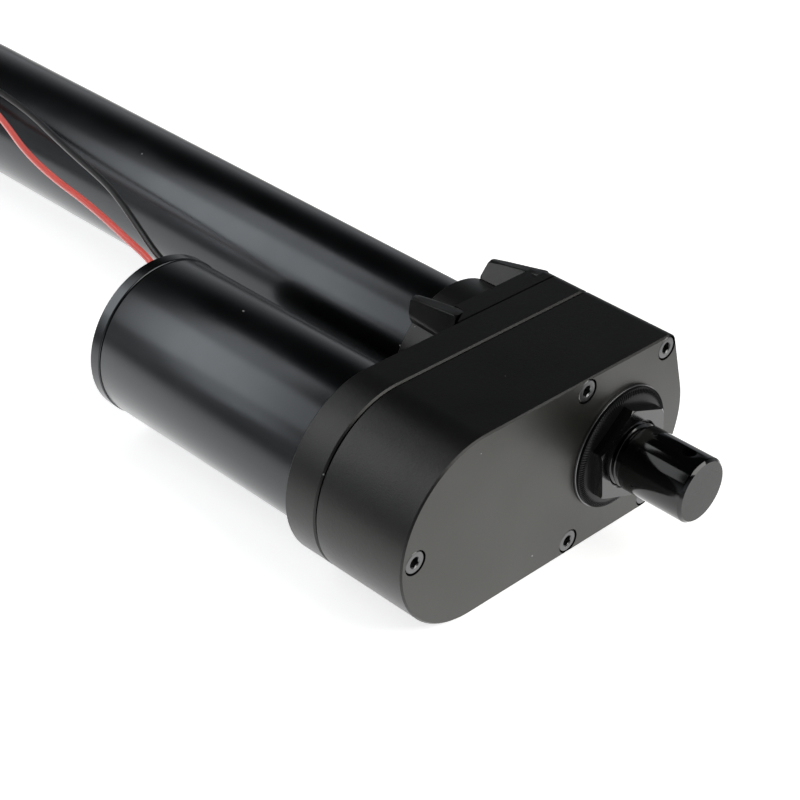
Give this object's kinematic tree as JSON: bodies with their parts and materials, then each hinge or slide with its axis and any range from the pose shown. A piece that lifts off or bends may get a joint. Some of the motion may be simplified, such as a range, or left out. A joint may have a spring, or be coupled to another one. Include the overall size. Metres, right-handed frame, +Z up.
{
  "type": "electric linear actuator",
  "caption": "Electric linear actuator with a side motor, a two-stage gearbox, a screw-driven rod with an eye and a threaded rear mounting stud.",
  "frame": {"origin": "where the axis of the rear stud's cross hole meets the stud's axis", "axes": "+Y forward along the stroke, motor beside the tube on the -X side, +Z up along the cross hole"},
  "size_m": [0.1174, 0.411, 0.0586],
  "materials": {
    "black_steel": "gloss black",
    "housing_paint": "fine-textured matte black",
    "motor_paint": "satin black",
    "tube_paint": "satin black",
    "screw_steel": "black oxide",
    "bright_steel": "ground",
    "eye_steel": "machined",
    "gear_steel": "hobbed",
    "core_steel": "stacked laminations",
    "bush_bronze": "sintered",
    "magnet_ferrite": "dull",
    "copper_wire": "varnished",
    "copper_bar": "turned",
    "brush_carbon": "carbon",
    "holder_board": "board",
    "nut_plastic": "natural",
    "black_plastic": "moulded",
    "black_rubber": "soft",
    "red_insulation": "smooth",
    "black_insulation": "smooth",
    "tinned_copper": "tinned"
  },
  "bodies": {
    "body": {"rear_stud": "black_steel", "stud_washer": "black_steel", "stud_lock_nut": "black_steel", "gear_housing": "housing_paint", "housing_gasket": "black_rubber", "gear_base": "housing_paint", "housing_screws": "screw_steel", "bearing_outer_rings": "bright_steel", "bearing_balls": "bright_steel", "bearing_retainer": "screw_steel", "idler_shaft": "bright_steel", "motor_bushes": "bush_bronze", "motor_can": "motor_paint", "motor_screws": "screw_steel", "motor_end_cap": "motor_paint", "motor_magnets": "magnet_ferrite", "brushes": "brush_carbon", "brush_holder": "holder_board", "outer_tube": "tube_paint", "tube_front_cap": "tube_paint", "wiper_seal": "black_rubber", "guide_bush": "nut_plastic", "limit_switch_rail": "holder_board", "limit_switches": "black_plastic", "red_lead": "red_insulation", "black_lead": "black_insulation", "lead_tips": "tinned_copper", "lead_grommet": "black_rubber", "lead_tie": "black_plastic"},
    "rotor": {"motor_shaft": "bright_steel", "motor_pinion": "gear_steel", "armature_core": "core_steel", "armature_windings": "copper_wire", "commutator": "copper_bar"},
    "idler": {"idler_gears": "gear_steel"},
    "screw": {"lead_screw": "bright_steel", "screw_gear": "gear_steel", "bearing_inner_rings": "bright_steel"},
    "rod": {"drive_nut": "nut_plastic", "extension_tube": "bright_steel", "rod_eye": "eye_steel", "rod_eye_bush": "bush_bronze"}
  },
  "joints": [
    {"name": "motor_spin", "type": "hinge", "parent": "body", "child": "rotor", "pos_m": [-0.05887, 0, 0], "axis": [0, 1, 0], "range_deg": [0, 166501]},
    {"name": "idler_spin", "type": "hinge", "parent": "body", "child": "idler", "pos_m": [-0.03188, 0, 0], "axis": [0, 1, 0], "range_deg": [-47572, 0]},
    {"name": "screw_spin", "type": "hinge", "parent": "body", "child": "screw", "pos_m": [0, 0, 0], "axis": [0, 1, 0], "range_deg": [0, 18000.5]},
    {"name": "rod_slide", "type": "slide", "parent": "body", "child": "rod", "axis": [0, 1, 0], "range_m": [0, 0.25]}
  ],
  "couplings": [
    {"joint": "motor_spin", "follows": "rod_slide", "rad_per_m": 11624},
    {"joint": "idler_spin", "follows": "rod_slide", "rad_per_m": -3321.1},
    {"joint": "screw_spin", "follows": "rod_slide", "rad_per_m": 1256.6}
  ]
}
